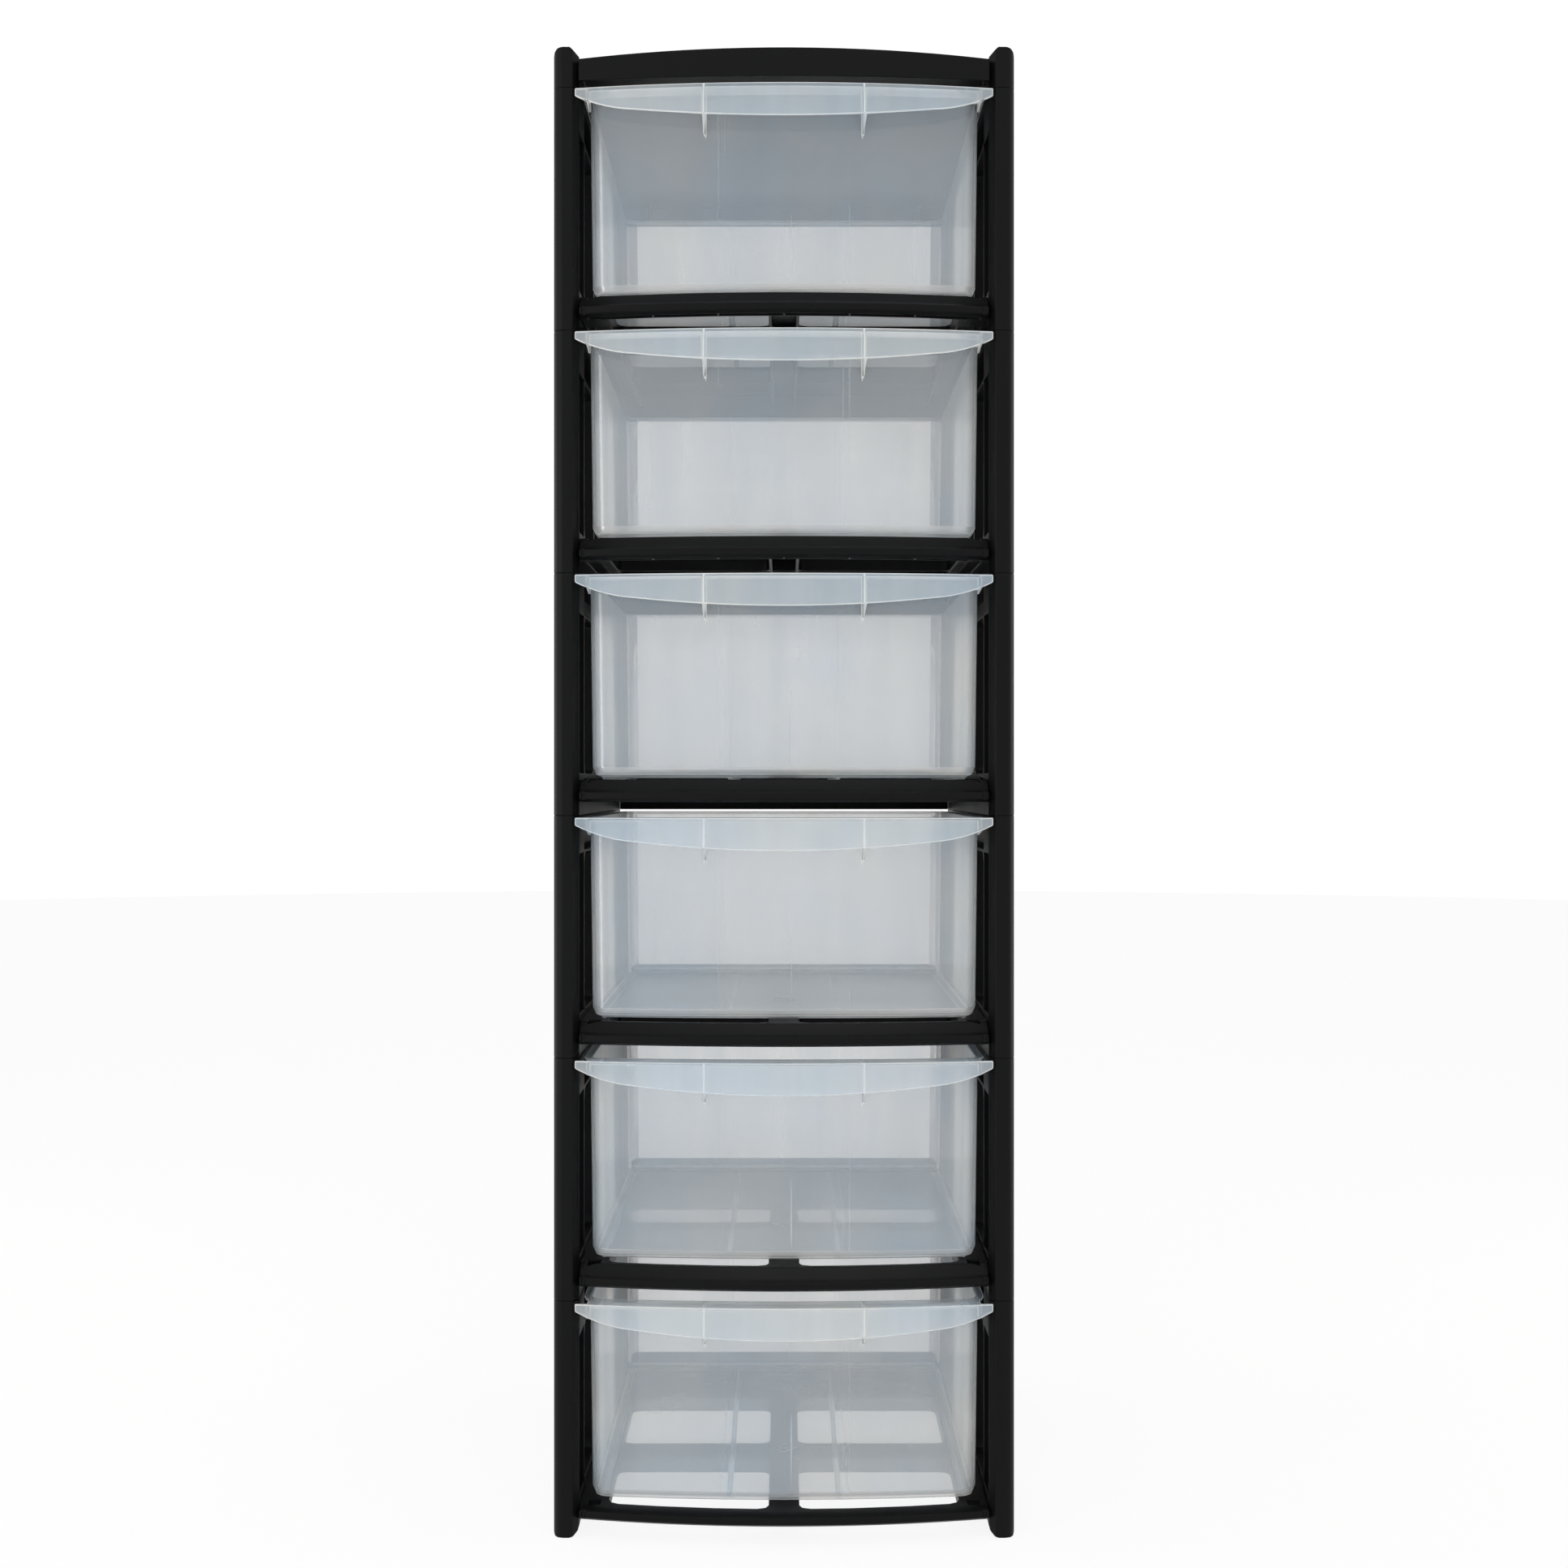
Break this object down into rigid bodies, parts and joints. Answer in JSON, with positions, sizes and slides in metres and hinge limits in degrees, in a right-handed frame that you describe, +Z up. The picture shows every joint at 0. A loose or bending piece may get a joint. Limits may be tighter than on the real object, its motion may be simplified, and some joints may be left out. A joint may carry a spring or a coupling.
{
  "type": "drawer tower",
  "caption": "Tall free-standing tower of see-through plastic drawers with bowed pull lips, in a black frame of stacked side frames and shelf frames under a flat rimmed lid.",
  "frame": {"origin": "On the floor, under the middle of the tower's overall box.", "axes": "+X runs to the right seen from the front, +Y to the rear and +Z up. The drawers pull out towards -Y."},
  "size_m": [0.36, 0.4, 1.161],
  "materials": {
    "black_plastic": "black polypropylene, satin with a soft sheen",
    "clear_plastic": "clear, slightly milky polypropylene, smooth"
  },
  "bodies": {
    "frame": {"side_frame_right_1": "black_plastic", "side_frame_left_1": "black_plastic", "base_frame": "black_plastic", "side_frame_right_2": "black_plastic", "side_frame_left_2": "black_plastic", "shelf_frame_1": "black_plastic", "side_frame_right_3": "black_plastic", "side_frame_left_3": "black_plastic", "shelf_frame_2": "black_plastic", "side_frame_right_4": "black_plastic", "side_frame_left_4": "black_plastic", "shelf_frame_3": "black_plastic", "side_frame_right_5": "black_plastic", "side_frame_left_5": "black_plastic", "shelf_frame_4": "black_plastic", "side_frame_right_6": "black_plastic", "side_frame_left_6": "black_plastic", "shelf_frame_5": "black_plastic", "top_panel": "black_plastic"},
    "drawer_1": {"drawer_1": "clear_plastic"},
    "drawer_2": {"drawer_2": "clear_plastic"},
    "drawer_3": {"drawer_3": "clear_plastic"},
    "drawer_4": {"drawer_4": "clear_plastic"},
    "drawer_5": {"drawer_5": "clear_plastic"},
    "drawer_6": {"drawer_6": "clear_plastic"}
  },
  "joints": [
    {"name": "drawer_slide_1", "type": "slide", "parent": "frame", "child": "drawer_1", "axis": [0, -1, 0], "range_m": [0, 0.3]},
    {"name": "drawer_slide_2", "type": "slide", "parent": "frame", "child": "drawer_2", "axis": [0, -1, 0], "range_m": [0, 0.3]},
    {"name": "drawer_slide_3", "type": "slide", "parent": "frame", "child": "drawer_3", "axis": [0, -1, 0], "range_m": [0, 0.3]},
    {"name": "drawer_slide_4", "type": "slide", "parent": "frame", "child": "drawer_4", "axis": [0, -1, 0], "range_m": [0, 0.3]},
    {"name": "drawer_slide_5", "type": "slide", "parent": "frame", "child": "drawer_5", "axis": [0, -1, 0], "range_m": [0, 0.3]},
    {"name": "drawer_slide_6", "type": "slide", "parent": "frame", "child": "drawer_6", "axis": [0, -1, 0], "range_m": [0, 0.3]}
  ]
}
